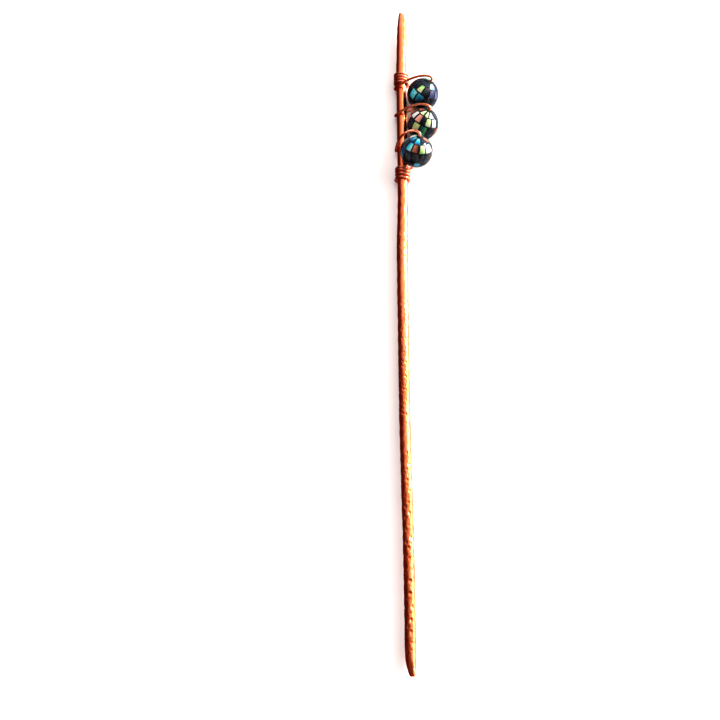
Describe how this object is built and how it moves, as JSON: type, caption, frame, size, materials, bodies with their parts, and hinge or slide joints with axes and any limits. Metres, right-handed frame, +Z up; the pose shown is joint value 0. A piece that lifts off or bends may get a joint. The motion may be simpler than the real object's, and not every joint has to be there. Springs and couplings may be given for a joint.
{
  "type": "hair stick",
  "caption": "Hammered copper hair stick with round shell-mosaic beads held along one side near its upper end by a coiled copper wire.",
  "frame": {"origin": "centre of the whole object's footprint, on the surface that the hair stick lies on", "axes": "+Y along the stick towards its long upper tip, by the beads; +X to the side that the beads sit on; +Z up"},
  "size_m": [0.0142, 0.205, 0.0132],
  "materials": {
    "hammered_copper": "polished copper, hammered",
    "copper_wire": "bright copper wire",
    "black_resin": "black resin under the coat",
    "blue_shell": "iridescent shell",
    "green_shell": "iridescent shell",
    "silver_shell": "iridescent shell",
    "rose_shell": "iridescent shell",
    "dark_shell": "dark iridescent shell",
    "clear_resin": "clear, very glossy"
  },
  "bodies": {
    "stick": {"hammered_stick": "hammered_copper", "wrap_wire": "copper_wire"},
    "upper_bead": {"upper_bead_core": "black_resin", "upper_bead_blue_chips": "blue_shell", "upper_bead_green_chips": "green_shell", "upper_bead_silver_chips": "silver_shell", "upper_bead_rose_chips": "rose_shell", "upper_bead_dark_chips": "dark_shell", "upper_bead_coat": "clear_resin"},
    "middle_bead": {"middle_bead_core": "black_resin", "middle_bead_blue_chips": "blue_shell", "middle_bead_green_chips": "green_shell", "middle_bead_silver_chips": "silver_shell", "middle_bead_rose_chips": "rose_shell", "middle_bead_dark_chips": "dark_shell", "middle_bead_coat": "clear_resin"},
    "lower_bead": {"lower_bead_core": "black_resin", "lower_bead_blue_chips": "blue_shell", "lower_bead_green_chips": "green_shell", "lower_bead_silver_chips": "silver_shell", "lower_bead_rose_chips": "rose_shell", "lower_bead_dark_chips": "dark_shell", "lower_bead_coat": "clear_resin"}
  },
  "joints": [
    {"name": "upper_bead_spin", "type": "hinge", "parent": "stick", "child": "upper_bead", "pos_m": [0.0021, 0.0715, 0.005], "axis": [0.4719, 0.4557, 0.7547], "continuous": true},
    {"name": "middle_bead_spin", "type": "hinge", "parent": "stick", "child": "middle_bead", "pos_m": [0.0019, 0.06115, 0.0051], "axis": [0.3619, 0.4981, 0.788], "continuous": true},
    {"name": "lower_bead_spin", "type": "hinge", "parent": "stick", "child": "lower_bead", "pos_m": [-0.00045, 0.0503, 0.00806], "axis": [0.1541, 0.5375, 0.829], "continuous": true}
  ]
}
